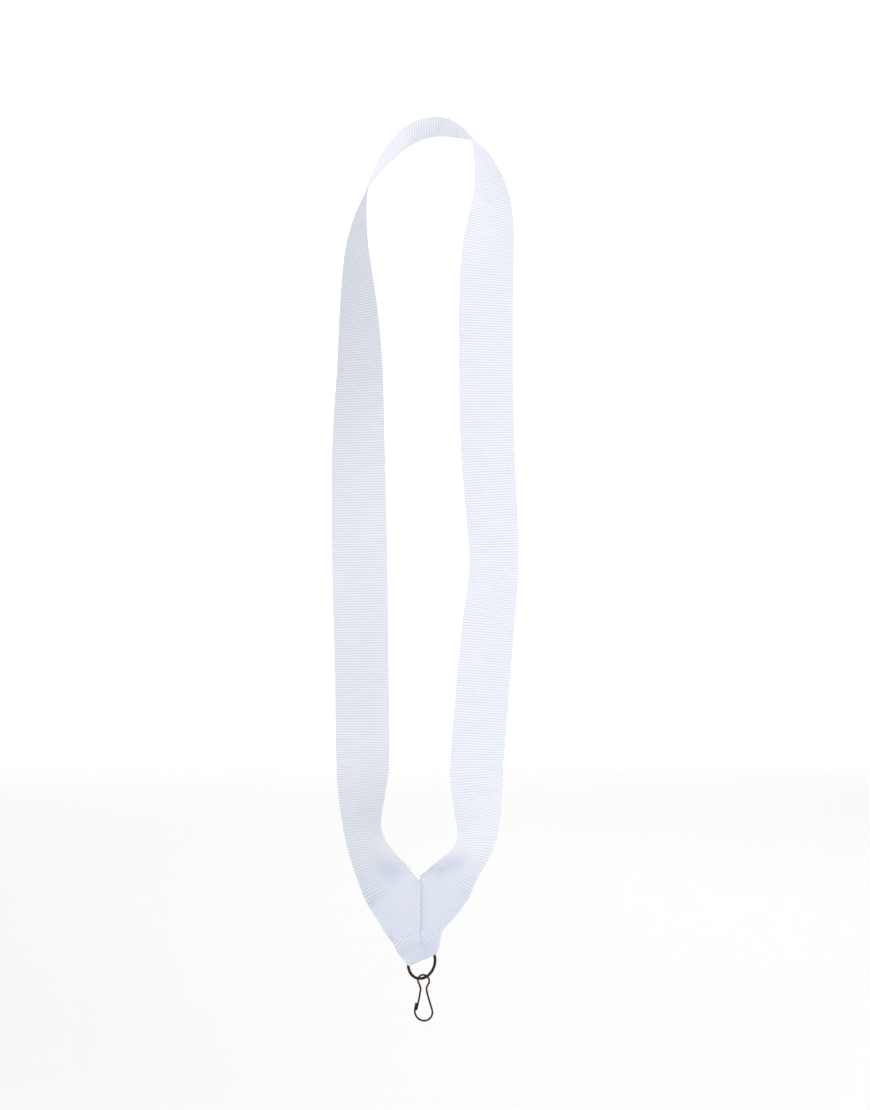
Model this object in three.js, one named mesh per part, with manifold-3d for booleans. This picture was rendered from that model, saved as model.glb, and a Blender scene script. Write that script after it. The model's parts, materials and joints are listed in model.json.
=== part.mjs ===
// Neck ribbon for a finisher medal: one closed band of grosgrain ribbon whose two ends meet in a
// mitred V, with the tip of the V folded back round a wire ring and stitched, and a bent wire snap
// hook hanging on the ring. It hangs as it does in use. Millimetres, +Z up, front faces -Y.
// The origin is where the band rests on its support, straight above the mitre seam.
import * as THREE from "three";
import { mergeVertices } from "three/addons/utils/BufferGeometryUtils.js";
import Module from "manifold-3d";

const wasm = await Module();
wasm.setup();

const rad = THREE.MathUtils.degToRad;

// Ribbon
const ribbonWidth = 25;
const ribbonThickness = 0.5;
const pieceGap = 0.3; // clearance between neighbouring solids
const leftStrapLength = 290; // from the mitre up to the start of the neck arc
const neckArcLength = 124;

// Mitre: the two ends meet on the vertical line x = 0, y = 0. Lead is how far an end's flat panel
// runs on past the top of the seam, and gather is how far the fold draws its outer edge in at the
// stitched row.
const mitre = {
  left: { side: -1, angle: rad(31), seamTop: -332.6, yaw: rad(8), lead: 0.7, gather: 0.8 },
  right: { side: 1, angle: rad(34), seamTop: -330, yaw: rad(9), lead: 1, gather: 4.4 },
};
const rowHeight = -355.2; // the stitched row that closes the folded tip, at the seam
const rowTilt = rad(10);

// Ring
const ringWire = 1.2;
const ringRadius = 7.15; // to the middle of the wire
const ringYaw = rad(34);
const ringDrop = 2.8; // from the axis of the tab's fold down to the ring's centre

// Folded tab below the stitched row
const tabTop = new THREE.Vector3(-2.26, 0.5, -355.96); // middle of its top edge
const tabYaw = rad(27);
const tabRoll = rad(17);
const tabTopYaw = rad(9);
const tunnelClearance = 1.2; // round the ring's wire, inside the fold
const tabSideClearance = 1.05; // from the ring's inside to the end of the fold
const pocketClearance = 2.65; // above the ring, to where the two layers lie together
const tabLap = 0.12 * ribbonWidth; // from there to the top edge
const tabFlare = 1.2; // how far the tab's sides stand out past the ends of its fold

// Snap hook, all radii and offsets to the middle of the wire
const hookWire = 0.85;
const hookYaw = rad(-15);
const eyeRadius = 2.6;
const neckGap = 2.7;
const neckDrop = 3.5; // from the eye's centre to the neck
const noseRadius = 4.05; // the round bottom of the hook
const noseDrop = 13.7; // from the eye's centre to the centre of the round bottom
const noseRise = 3.4; // how far the hooked end stands above that centre
const noseSlant = 0.6; // how far the hooked end leans inwards
const gateOverlap = 2.4; // how far the gate reaches past the hooked end
const gateInset = 0.75; // from the hooked end to the gate's tip, inwards
const gateLead = 0.9; // and towards the front
const ringPlay = 0.3; // between the ring and the top of the eye
const hookSeat = rad(8); // how far round the ring from its lowest point the hook hangs

// Thread
const threadRadius = 0.15;
const stitchPitch = 2.2;
const stitchSwing = 0.25;
const stitchInset = 1.2; // from the tab's top edge down to its row of stitches
const stitchEnd = 2; // and from the tab's sides to the ends of that row

// Middle line of the band, from the left end of the mitre over the top to the right end, and the
// turn of its width about that line, in degrees: 0 faces the front, 90 stands edge-on.
const bandStations = [
  [...mitrePoint(mitre.left, -10), mitreTurn(mitre.left)],
  [...mitrePoint(mitre.left, 0), mitreTurn(mitre.left)],
  [...mitrePoint(mitre.left, 9.5), 15],
  [-25.5, -4, -307.5, 42],
  [-25.5, -3, -276, 17],
  [-26, -1.5, -239, 16],
  [-27, -0.5, -186, 9],
  [-27.5, -0.5, -142, 19],
  [-27, 0, -105, 34],
  [-27.5, 0, -80, 46],
  [-28, 0, -47, 67],
  [-22.3, 0.5, -23, 86],
  [-8.5, 0.5, -5, 96],
  [4, 1, 1.2, 96],
  [15.5, 0.5, 0, 91],
  [26, 0, -7.5, 73],
  [31.7, -0.5, -29.3, 48],
  [29.5, 0, -61, 18],
  [29, 0, -103, 15],
  [30, 0, -145, 16],
  [32.5, -0.5, -190, 28],
  [29.8, -1.5, -221, 21],
  [27.5, -1.5, -248, 18],
  [25, -1.5, -281, 19],
  [24.8, 0, -312, 40],
  [...mitrePoint(mitre.right, 9.5), 32],
  [...mitrePoint(mitre.right, 0), mitreTurn(mitre.right)],
  [...mitrePoint(mitre.right, -10), mitreTurn(mitre.right)],
];

// Length of a mitred end's flat panel along its middle line, from the seam.
function panelReach(end) {
  return ribbonWidth / 2 / Math.tan(end.angle) + end.lead;
}

// A point on the middle line of one mitred end, at a distance past the end of its flat panel.
function mitrePoint(end, past) {
  const point = panelPoint(end, panelReach(end) + past, 0);
  return [point.x * Math.cos(end.yaw), point.x * Math.sin(end.yaw), point.y];
}

function mitreTurn(end) {
  return end.side * THREE.MathUtils.radToDeg(Math.asin(Math.cos(end.angle) * Math.sin(end.yaw)));
}

const band = new THREE.CatmullRomCurve3(
  bandStations.map(([x, y, z]) => new THREE.Vector3(x, y, z)),
  false,
  "catmullrom",
);
const bandTurn = new THREE.CatmullRomCurve3(
  bandStations.map(([, , , turn]) => new THREE.Vector3(rad(turn), 0, 0)),
  false,
  "catmullrom",
);
band.arcLengthDivisions = 2000;

// Distance along the band at one of its stations.
function lengthAtStation(index) {
  const t = index / (bandStations.length - 1);
  const lengths = band.getLengths();
  return lengths[Math.round(t * (lengths.length - 1))];
}

// The band's frame at a distance along it: middle, direction, width and outward face.
function bandFrame(distance) {
  const share = distance / band.getLength();
  const t = band.getUtoTmapping(share);
  const middle = band.getPoint(t);
  const along = band.getTangent(t);
  const turn = bandTurn.getPoint(t).x;
  const flat = new THREE.Vector3(-along.z, 0, along.x).normalize();
  const back = flat.clone().cross(along);
  const across = flat.multiplyScalar(Math.cos(turn)).addScaledVector(back, Math.sin(turn));
  return { middle, along, across, face: along.clone().cross(across) };
}

function merged(geometry) {
  const bare = geometry.clone();
  bare.deleteAttribute("normal");
  bare.deleteAttribute("uv");
  return mergeVertices(bare, 1e-4);
}

function toSolid(geometry) {
  const { index, attributes } = merged(geometry);
  return new wasm.Manifold(
    new wasm.Mesh({
      numProp: 3,
      vertProperties: new Float32Array(attributes.position.array),
      triVerts: new Uint32Array(index.array),
    }),
  );
}

function toGeometry(solid) {
  const { vertProperties, triVerts } = solid.getMesh();
  const geometry = new THREE.BufferGeometry();
  geometry.setAttribute("position", new THREE.BufferAttribute(vertProperties, 3));
  geometry.setIndex(new THREE.BufferAttribute(triVerts, 1));
  return geometry;
}

function mapVertices(geometry, move) {
  const position = geometry.attributes.position;
  const point = new THREE.Vector3();
  for (let i = 0; i < position.count; i++) {
    point.fromBufferAttribute(position, i);
    move(point);
    position.setXYZ(i, point.x, point.y, point.z);
  }
  return geometry;
}

// A stretch of the band as a thick strip that follows the route.
function bandStretch(start, end, stepLength) {
  const steps = Math.ceil((end - start) / stepLength);
  const strip = new THREE.BoxGeometry(ribbonWidth, ribbonThickness, 1, 2, 1, steps);
  return mapVertices(merged(strip), (point) => {
    const frame = bandFrame(start + (point.z + 0.5) * (end - start));
    const { x, y } = point;
    point.copy(frame.middle).addScaledVector(frame.across, x).addScaledVector(frame.face, y);
  });
}

// Height of the stitched row at a distance across from the seam.
const rowAt = (across) => rowHeight + across * Math.tan(rowTilt);

// A point of a mitred end, in its flat panel: at a distance from the seam along the end's middle
// line, and from that line outwards.
function panelPoint(end, distance, outwards) {
  const middle = end.seamTop - ribbonWidth / 2 / Math.sin(end.angle);
  return new THREE.Vector2(
    end.side * (Math.sin(end.angle) * distance + Math.cos(end.angle) * outwards),
    middle + Math.cos(end.angle) * distance - Math.sin(end.angle) * outwards,
  );
}

// How far from the seam the outer edge of a mitred end meets the stitched row.
function outerFoot(end) {
  const outer = panelPoint(end, 0, ribbonWidth / 2);
  const slope = end.side * Math.tan(end.angle);
  const straight = (outer.x + slope * (rowAt(0) - outer.y)) / (1 - slope * Math.tan(rowTilt));
  return straight - end.side * end.gather;
}

// One mitred end: a flat panel between the strap, the seam and the stitched row.
function mitrePanel(end) {
  const top = panelReach(end) - pieceGap;
  const seam = (end.side * pieceGap) / 2;
  const foot = outerFoot(end);
  const outline = [
    new THREE.Vector2(seam, rowAt(seam) + pieceGap),
    new THREE.Vector2(seam, end.seamTop + pieceGap),
    panelPoint(end, top, -ribbonWidth / 2),
    panelPoint(end, top, ribbonWidth / 2),
    new THREE.Vector2(foot, rowAt(foot) + pieceGap),
  ];
  const panel = new THREE.ExtrudeGeometry(new THREE.Shape(outline), {
    depth: ribbonThickness,
    bevelEnabled: false,
  });
  panel.translate(0, 0, -ribbonThickness / 2);
  panel.rotateX(Math.PI / 2);
  panel.rotateZ(end.yaw);
  return panel;
}

// A plate with a given outline in the x and z of its own frame, thick along y.
function plateXZ(points, depth) {
  const outline = new THREE.Shape(points.map(([x, z]) => new THREE.Vector2(x, z)));
  const plate = new THREE.ExtrudeGeometry(outline, { depth, bevelEnabled: false });
  plate.translate(0, 0, -depth / 2);
  plate.rotateX(Math.PI / 2);
  return plate;
}

// The tab turns from the yaw of its fold towards that of the mitre above it.
function twistedWithTab(point) {
  const share = THREE.MathUtils.clamp((point.z - pocketTop) / (tabHeight - pocketTop), 0, 1);
  return point.applyAxisAngle(upAxis, (tabTopYaw - tabYaw) * share);
}

// Half-depths of the folded tip's middle line, at its fold and where its two layers lie together
const wall = ribbonThickness / 2;
const bend = ringWire / 2 + tunnelClearance + wall;
const closed = wall + pieceGap / 2;

// Heights above the fold's axis: where the two layers start to close in, where they lie together,
// and the top edge. The top edge runs along the stitched row, which tilts less than the fold.
const ringTop = ringRadius - ringDrop + ringWire / 2;
const pocketTop = ringTop - 1;
const pocketEnd = ringTop + pocketClearance;
const tabHeight = pocketEnd + tabLap;
const tabTopAt = (x) => tabHeight - x * Math.tan(tabRoll - rowTilt);
const tabFoldHalf = ringRadius - ringWire / 2 - tabSideClearance;

// The tab's frame: its x runs along the fold's axis and its z up the tab.
const upAxis = new THREE.Vector3(0, 0, 1);
const tabTurn = new THREE.Euler(0, -tabRoll, tabYaw, "ZYX");
const tabAxisPoint = tabTop.clone().sub(new THREE.Vector3(0, 0, tabHeight).applyEuler(tabTurn));
const ringCentre = tabAxisPoint.clone().addScaledVector(upAxis, -ringDrop);

// Where the outer edge of one mitred end meets the row, across the tab.
function tabTopHalf(end) {
  const foot = outerFoot(end);
  const point = new THREE.Vector3(foot * Math.cos(end.yaw), foot * Math.sin(end.yaw), rowAt(foot));
  const turn = new THREE.Euler(0, -tabRoll, tabTopYaw, "ZYX");
  return point.sub(tabTop).dot(new THREE.Vector3(1, 0, 0).applyEuler(turn));
}
const tabTopLeft = tabTopHalf(mitre.left);
const tabTopRight = tabTopHalf(mitre.right);

// The folded tip in its own frame: the fold's axis lies on x, the front layer is at -y. Seen from
// the side it is a teardrop, open round the ring and closed at the stitched row.
function foldedTab() {
  const foot = bend + ribbonThickness;
  const sleeveTop = tabTopAt(tabTopLeft) + foot;
  const sideLine = [];
  sideLine.push([-closed, sleeveTop], [-closed, pocketEnd], [-bend, pocketTop]);
  for (let i = 0; i <= 8; i++) {
    const angle = Math.PI + (Math.PI * i) / 8;
    sideLine.push([bend * Math.cos(angle), bend * Math.sin(angle)]);
  }
  sideLine.push([bend, pocketTop], [closed, pocketEnd], [closed, sleeveTop]);
  const line = sideLine.map(([y, z]) => new THREE.Vector2(y, z));
  const offset = (amount) =>
    line.map((point, i) => {
      const before = line[Math.max(i - 1, 0)];
      const after = line[Math.min(i + 1, line.length - 1)];
      const normal = after.clone().sub(before).normalize().rotateAround(new THREE.Vector2(), -Math.PI / 2);
      return point.clone().addScaledVector(normal, amount);
    });
  const section = new THREE.Shape([...offset(wall), ...offset(-wall).reverse()]);
  const widest = 2 * Math.max(-tabTopLeft, tabTopRight) + foot;
  const sleeve = new THREE.ExtrudeGeometry(section, { depth: widest, bevelEnabled: false });
  sleeve.translate(0, 0, -widest / 2);
  sleeve.applyMatrix4(
    new THREE.Matrix4().makeBasis(
      new THREE.Vector3(0, 1, 0),
      new THREE.Vector3(0, 0, 1),
      new THREE.Vector3(1, 0, 0),
    ),
  );
  const cornerRise = 1;
  const outline = plateXZ(
    [
      [-tabFoldHalf, -foot],
      [tabFoldHalf, -foot],
      [tabFoldHalf, -cornerRise],
      [tabFoldHalf + tabFlare, cornerRise],
      [tabTopRight, tabTopAt(tabTopRight)],
      [tabTopLeft, tabTopAt(tabTopLeft)],
      [-tabFoldHalf - tabFlare, cornerRise],
      [-tabFoldHalf, -cornerRise],
    ],
    4 * foot,
  );
  const tab = toGeometry(toSolid(sleeve).intersect(toSolid(outline)));
  return mapVertices(tab, twistedWithTab);
}

function wireSection(radius, sides) {
  const points = [];
  for (let i = 0; i < sides; i++) {
    const angle = (2 * Math.PI * i) / sides;
    points.push(new THREE.Vector2(radius * Math.cos(angle), radius * Math.sin(angle)));
  }
  return new THREE.Shape(points);
}

function wireAlong(points, radius, sides, steps) {
  const extrudePath = new THREE.CatmullRomCurve3(points, false, "centripetal");
  return new THREE.ExtrudeGeometry(wireSection(radius, sides), { steps, extrudePath });
}

// Points on a circle in the hook's plane, from one angle to another in degrees.
function arcPoints(centreZ, radius, fromDegrees, toDegrees, count) {
  const points = [];
  for (let i = 0; i <= count; i++) {
    const angle = rad(fromDegrees + ((toDegrees - fromDegrees) * i) / count);
    points.push(new THREE.Vector3(radius * Math.cos(angle), 0, centreZ + radius * Math.sin(angle)));
  }
  return points;
}

const noseEnd = new THREE.Vector3(noseSlant - noseRadius, 0, noseRise - noseDrop);
const neckLeft = new THREE.Vector3(-neckGap / 2, 0, -neckDrop);
const neckRight = new THREE.Vector3(neckGap / 2, 0, -neckDrop);

// The hook's wire from its hooked end round the bottom, up the spine and round the eye.
function hookFrame() {
  const points = [
    noseEnd,
    ...arcPoints(-noseDrop, noseRadius, 176, 364, 12),
    neckRight,
    ...arcPoints(0, eyeRadius, -40, 220, 12),
    neckLeft,
  ];
  return wireAlong(points, hookWire / 2, 8, 72);
}

// The springing arm, from the neck to its tip inside the hooked end.
function hookGate() {
  const root = neckLeft.clone().add(new THREE.Vector3(0, 0, -hookWire * 0.9));
  const tip = noseEnd.clone().add(new THREE.Vector3(gateInset, -gateLead, -gateOverlap));
  return wireAlong([root, root.clone().lerp(tip, 0.5), tip], hookWire / 2, 8, 6);
}

// A running thread that swings from side to side of a line, given by its point at each share.
function runningThread(pointAt, sideways) {
  const stitches = Math.round(pointAt(0).distanceTo(pointAt(1)) / stitchPitch);
  const points = [];
  for (let i = 0; i <= 2 * stitches; i++) {
    const point = pointAt(i / (2 * stitches));
    points.push(point.addScaledVector(sideways, i % 2 ? stitchSwing : -stitchSwing));
  }
  return wireAlong(points, threadRadius, 6, 4 * stitches);
}

const materials = {
  ribbon: new THREE.MeshStandardMaterial({ color: 0xe6e9f2, roughness: 0.85, metalness: 0 }),
  thread: new THREE.MeshStandardMaterial({ color: 0xf4f5fa, roughness: 0.7, metalness: 0 }),
  bronze: new THREE.MeshStandardMaterial({ color: 0x3a2a24, roughness: 0.35, metalness: 1 }),
};

function piece(name, geometry, material) {
  const mesh = new THREE.Mesh(geometry, material.clone());
  mesh.name = name;
  return mesh;
}

const medalRibbon = new THREE.Group();

// Band: the two straps and the arc between them, each in equal stretches that meet end to end
const bandStart = lengthAtStation(1);
const bandEnd = lengthAtStation(bandStations.length - 2);
const arcStart = bandStart + leftStrapLength;
const arcEnd = arcStart + neckArcLength;

function addStretches(names, start, end, stepLength) {
  const share = (end - start) / names.length;
  names.forEach((name, i) => {
    const from = start + i * share + pieceGap / 2;
    const stretch = bandStretch(from, from + share - pieceGap, stepLength);
    medalRibbon.add(piece(name, stretch, materials.ribbon));
  });
}

const strapStep = 5;
const arcStep = 4;
const leftStrap = ["ribbon_left_lower_strap", "ribbon_left_middle_strap", "ribbon_left_upper_strap"];
const neckArc = ["ribbon_left_neck_arc", "ribbon_right_neck_arc"];
const rightStrap = [
  "ribbon_right_upper_strap",
  "ribbon_right_middle_strap",
  "ribbon_right_lower_strap",
];
addStretches(leftStrap, bandStart, arcStart, strapStep);
addStretches(neckArc, arcStart, arcEnd, arcStep);
addStretches(rightStrap, arcEnd, bandEnd, strapStep);
medalRibbon.add(
  piece("ribbon_left_mitre", mitrePanel(mitre.left), materials.ribbon),
  piece("ribbon_right_mitre", mitrePanel(mitre.right), materials.ribbon),
);

// Mitre seam thread, behind the right end close to the seam
const seamSide = stitchSwing + threadRadius + pieceGap;
const seamDepth = seamSide * Math.tan(mitre.right.yaw) + wall + pieceGap + 2 * threadRadius;
const seamThreadTop = new THREE.Vector3(seamSide, seamDepth, mitre.left.seamTop - 1);
const seamThreadFoot = new THREE.Vector3(seamSide, seamDepth, rowHeight + 1.5);
medalRibbon.add(
  piece(
    "mitre_seam_thread",
    runningThread(
      (share) => seamThreadTop.clone().lerp(seamThreadFoot, share),
      new THREE.Vector3(1, 0, 0),
    ),
    materials.thread,
  ),
);

// Folded tab and its stitched row
const tab = new THREE.Group();
tab.position.copy(tabAxisPoint);
tab.rotation.copy(tabTurn);
tab.add(piece("ribbon_folded_tab", foldedTab(), materials.ribbon));
const threadFront = closed + wall + pieceGap + threadRadius;
const threadLeft = tabTopLeft + stitchEnd;
const threadRight = tabTopRight - stitchEnd;
const threadPoint = (share) => {
  const x = threadLeft + share * (threadRight - threadLeft);
  return twistedWithTab(new THREE.Vector3(x, -threadFront, tabTopAt(x) - stitchInset));
};
tab.add(
  piece(
    "tab_stitch_thread",
    runningThread(threadPoint, new THREE.Vector3(0, 0, 1)),
    materials.thread,
  ),
);
medalRibbon.add(tab);

// Ring
const ring = piece(
  "wire_ring",
  new THREE.TorusGeometry(ringRadius, ringWire / 2, 10, 40),
  materials.bronze,
);
ring.position.copy(ringCentre);
ring.rotation.set(Math.PI / 2, 0, ringYaw, "ZYX");
medalRibbon.add(ring);

// Snap hook, hanging with the top of its eye on the ring
const hook = new THREE.Group();
const seatReach = ringRadius * Math.sin(hookSeat);
hook.position.copy(ringCentre).add(
  new THREE.Vector3(
    seatReach * Math.cos(ringYaw),
    seatReach * Math.sin(ringYaw),
    ringWire / 2 + ringPlay + hookWire / 2 - eyeRadius - ringRadius * Math.cos(hookSeat),
  ),
);
hook.rotation.z = hookYaw;
hook.add(piece("hook_frame", hookFrame(), materials.bronze));
hook.add(piece("hook_gate", hookGate(), materials.bronze));
medalRibbon.add(hook);

export default medalRibbon;
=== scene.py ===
"""Medal neck ribbon with a wire ring and a snap hook.

One strip of ribbed grosgrain hangs in a loop, its two ends meet in a mitred V, and the tip of the V
is folded back round a wire ring and stitched. Lengths inside the classes are millimetres; meshes
are written in metres.
"""

import bisect
import json
import logging
import math
from dataclasses import dataclass, field
from enum import Enum
from typing import Callable, Sequence

import bmesh
import bpy
from mathutils import Euler, Matrix, Vector, noise


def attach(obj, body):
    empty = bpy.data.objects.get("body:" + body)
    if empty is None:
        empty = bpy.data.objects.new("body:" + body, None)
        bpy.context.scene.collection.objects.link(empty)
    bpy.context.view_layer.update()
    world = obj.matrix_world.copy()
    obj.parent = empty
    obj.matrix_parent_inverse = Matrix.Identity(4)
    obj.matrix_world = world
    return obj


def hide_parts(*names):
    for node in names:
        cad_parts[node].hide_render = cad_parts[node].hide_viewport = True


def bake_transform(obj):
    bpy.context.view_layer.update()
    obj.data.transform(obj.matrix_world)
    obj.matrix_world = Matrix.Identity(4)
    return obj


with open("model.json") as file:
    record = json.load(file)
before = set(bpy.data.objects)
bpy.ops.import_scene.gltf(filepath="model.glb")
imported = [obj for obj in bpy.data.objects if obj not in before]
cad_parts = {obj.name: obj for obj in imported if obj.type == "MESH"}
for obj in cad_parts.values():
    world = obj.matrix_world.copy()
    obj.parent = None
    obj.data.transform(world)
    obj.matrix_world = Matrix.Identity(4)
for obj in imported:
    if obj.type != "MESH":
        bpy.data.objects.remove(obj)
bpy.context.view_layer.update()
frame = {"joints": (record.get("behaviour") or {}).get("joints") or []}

logging.basicConfig(level=logging.INFO, format="%(message)s")
log = logging.getLogger("medal_ribbon")

MM = 0.001

# From one cross rib to the next, and to one unit of the weave's UV map, in millimetres.
RIB_PITCH = 1.15
WEAVE_UNIT = 10.0


# ---------------------------------------------------------------------------------------------
# Small helpers
# ---------------------------------------------------------------------------------------------


def smooth(x: float) -> float:
    """Ease from 0 to 1 while x goes from 0 to 1."""
    x = min(max(x, 0.0), 1.0)
    return x * x * (3 - 2 * x)


def along_table(table: Sequence[tuple[float, float]], x: float) -> float:
    """Read a value between the rows of a short table.

    Args:
        table: Rows of (x, value), in rising x.
        x: Where to read it.

    Returns:
        The value at x, or the end value outside the table.
    """
    if x <= table[0][0]:
        return table[0][1]
    for (x0, v0), (x1, v1) in zip(table, table[1:]):
        if x <= x1:
            return v0 + (v1 - v0) * (x - x0) / (x1 - x0)
    return table[-1][1]


def turned_under(position: float, edge: float, radius: float) -> tuple[float, float]:
    """Turn what lies past an edge under, round a small roll, without stretching it.

    Args:
        position: Where a point of the flat cloth lies, measured towards the edge.
        edge: Where the roll starts.
        radius: Radius of the roll.

    Returns:
        The new position, and how far the point now lies behind the cloth.
    """
    past = position - edge
    if past <= 0:
        return position, 0.0
    angle = past / radius
    if angle < math.pi:
        return edge + radius * math.sin(angle), radius * (1 - math.cos(angle))
    return edge - (past - math.pi * radius), 2 * radius


# ---------------------------------------------------------------------------------------------
# Shader building
# ---------------------------------------------------------------------------------------------


class Signal:
    """One output socket of a material, with arithmetic that adds Math nodes."""

    def __init__(self, finish: "FinishNodes", socket: bpy.types.NodeSocket) -> None:
        """Keep the socket and the material it belongs to."""
        self.finish = finish
        self.socket = socket

    def _math(self, operation: str, *values: "float | Signal") -> "Signal":
        """Add one Math node on these values."""
        return self.finish.node("ShaderNodeMath", {"operation": operation}, dict(enumerate(values)))

    def __add__(self, other: "float | Signal") -> "Signal":
        """Sum."""
        return self._math("ADD", self, other)

    def __sub__(self, other: "float | Signal") -> "Signal":
        """Difference."""
        return self._math("SUBTRACT", self, other)

    def __rsub__(self, other: float) -> "Signal":
        """Difference from a number."""
        return self._math("SUBTRACT", other, self)

    def __mul__(self, other: "float | Signal") -> "Signal":
        """Product."""
        return self._math("MULTIPLY", self, other)

    __radd__ = __add__
    __rmul__ = __mul__

    def sine(self) -> "Signal":
        """Sine, in radians."""
        return self._math("SINE", self)

    def size(self) -> "Signal":
        """Absolute value."""
        return self._math("ABSOLUTE", self)


class FinishNodes:
    """The node tree of one material."""

    def __init__(self, name: str) -> None:
        """Start an empty material with an output and a Principled shader."""
        self.material = bpy.data.materials.new(name)
        self.material.use_nodes = True
        self.tree = self.material.node_tree
        self.tree.nodes.clear()
        self.shader = self.tree.nodes.new("ShaderNodeBsdfPrincipled")
        output = self.tree.nodes.new("ShaderNodeOutputMaterial")
        self.tree.links.new(self.shader.outputs[0], output.inputs[0])

    def node(
        self,
        kind: str,
        settings: dict[str, object],
        inputs: dict[int | str, object],
        output: int | str = 0,
    ) -> Signal:
        """Add a node.

        Args:
            kind: The node's type.
            settings: Properties to set first; "stops" fills a colour ramp.
            inputs: Values or signals by socket name or number.
            output: Which output to hand back.

        Returns:
            The chosen output.
        """
        node = self.tree.nodes.new(kind)
        for name, value in settings.items():
            if name == "stops":
                ramp = node.color_ramp.elements
                for i, (place, colour) in enumerate(value):
                    stop = ramp[i] if i < len(ramp) else ramp.new(place)
                    stop.position, stop.color = place, colour
            else:
                setattr(node, name, value)
        for name, value in inputs.items():
            self.feed(node.inputs[name], value)
        return Signal(self, node.outputs[output])

    def feed(self, socket: bpy.types.NodeSocket, value: object) -> None:
        """Link a signal to a socket, or set the socket's own value.

        Args:
            socket: The socket to feed.
            value: A signal, or a plain value.
        """
        if isinstance(value, Signal):
            self.tree.links.new(value.socket, socket)
        else:
            socket.default_value = value

    def surface(self, **inputs: object) -> bpy.types.Material:
        """Set the Principled shader's sockets, named with _ for a space, and hand the material back.

        Args:
            **inputs: Values or signals by socket name, with _ for a space.

        Returns:
            The material.
        """
        for name, value in inputs.items():
            self.feed(self.shader.inputs[name.replace("_", " ").title()], value)
        return self.material


def rgba(red: float, green: float, blue: float) -> tuple[float, float, float, float]:
    """A linear colour with full alpha."""
    return (red, green, blue, 1.0)


@dataclass(frozen=True)
class GrosgrainFinish:
    """White ribbed ribbon: cross ribs, fine warp threads over them and faint mottling; painted shade in the
    rib valleys and between the warp threads, and painted shade near the V, the tip and the bends.
    """

    crown: tuple[float, float, float] = (0.86, 0.88, 0.94)
    # Colour of the rib valleys, darker than the crowns: painted shade in the grooves.
    valley: tuple[float, float, float] = (0.56, 0.59, 0.68)
    # Tint multiplied in where painted shade lies: the V, the folded tip and the bends.
    shade_tint: tuple[float, float, float] = (0.70, 0.74, 0.84)
    warp_pitch: float = 0.42
    rib_pitch: float = RIB_PITCH
    unit: float = WEAVE_UNIT

    def build(self) -> bpy.types.Material:
        """Make the material. Its UV map runs across and along the ribbon, one unit to 10 mm."""
        nodes = FinishNodes("white_grosgrain")
        place = nodes.node("ShaderNodeUVMap", {"uv_map": "weave"}, {})
        across = nodes.node("ShaderNodeSeparateXYZ", {}, {0: place}, "X")
        along = nodes.node("ShaderNodeSeparateXYZ", {}, {0: place}, "Y")
        rib = (along * (math.pi * self.unit / self.rib_pitch)).sine().size()
        warp = (across * (math.pi * self.unit / self.warp_pitch)).sine().size()
        fibre = nodes.node(
            "ShaderNodeTexNoise", {}, {"Vector": place, "Scale": 38.0, "Detail": 5.0, "Roughness": 0.7}
        )
        mottle = nodes.node(
            "ShaderNodeTexNoise", {}, {"Vector": place, "Scale": 1.3, "Detail": 3.0, "Roughness": 0.6}
        )
        # Darker in the rib valleys and, faintly, between the warp threads: painted shade in the grooves.
        # The fibre and mottle noise add random tone.
        tone = rib * 0.62 + warp * 0.12 + fibre * 0.22 + mottle * 0.18
        colour = nodes.node(
            "ShaderNodeValToRGB",
            {"stops": [(0.15, rgba(*self.valley)), (0.72, rgba(*self.crown))]},
            {0: tone},
        )
        # Per-vertex amount of painted shade, darkening the V, the folded tip and the bends.
        painted_shade = nodes.node("ShaderNodeAttribute", {"attribute_name": "painted_shade"}, {}, "Fac")
        shaded_colour = nodes.node(
            "ShaderNodeMix",
            {"data_type": "RGBA", "blend_type": "MULTIPLY"},
            {"Factor": painted_shade, 6: colour, 7: rgba(*self.shade_tint)},
            2,
        )
        height = warp * 0.5 + fibre * 0.8
        bump = nodes.node(
            "ShaderNodeBump", {}, {"Strength": 0.35, "Distance": 0.00008, "Height": height}
        )
        rough = 0.92 - rib * 0.14 - fibre * 0.08
        return nodes.surface(
            base_color=shaded_colour, roughness=rough, normal=bump, sheen_weight=0.2, sheen_roughness=0.4
        )


@dataclass(frozen=True)
class ThreadFinish:
    """White twisted sewing thread, with painted shade in the grooves between its plies."""

    light: tuple[float, float, float] = (0.95, 0.96, 0.98)
    dark: tuple[float, float, float] = (0.66, 0.68, 0.76)
    ply_pitch: float = 0.00032

    def build(self) -> bpy.types.Material:
        """Make the material, its plies slanting across the thread."""
        nodes = FinishNodes("white_thread")
        place = nodes.node("ShaderNodeTexCoord", {}, {}, "Object")
        x = nodes.node("ShaderNodeSeparateXYZ", {}, {0: place}, "X")
        z = nodes.node("ShaderNodeSeparateXYZ", {}, {0: place}, "Z")
        ply = ((x + z * 0.8) * (math.pi / self.ply_pitch)).sine().size()
        fuzz = nodes.node("ShaderNodeTexNoise", {}, {"Vector": place, "Scale": 4000.0, "Detail": 3.0})
        # Darker in the grooves between plies: painted shade. The fuzz noise adds random tone.
        colour = nodes.node(
            "ShaderNodeValToRGB",
            {"stops": [(0.1, rgba(*self.dark)), (0.7, rgba(*self.light))]},
            {0: ply * 0.7 + fuzz * 0.4},
        )
        bump = nodes.node("ShaderNodeBump", {}, {"Strength": 0.5, "Distance": 0.00005, "Height": ply})
        rough = 0.6 + fuzz * 0.2
        return nodes.surface(base_color=colour, roughness=rough, normal=bump, sheen_weight=0.2)


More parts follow.
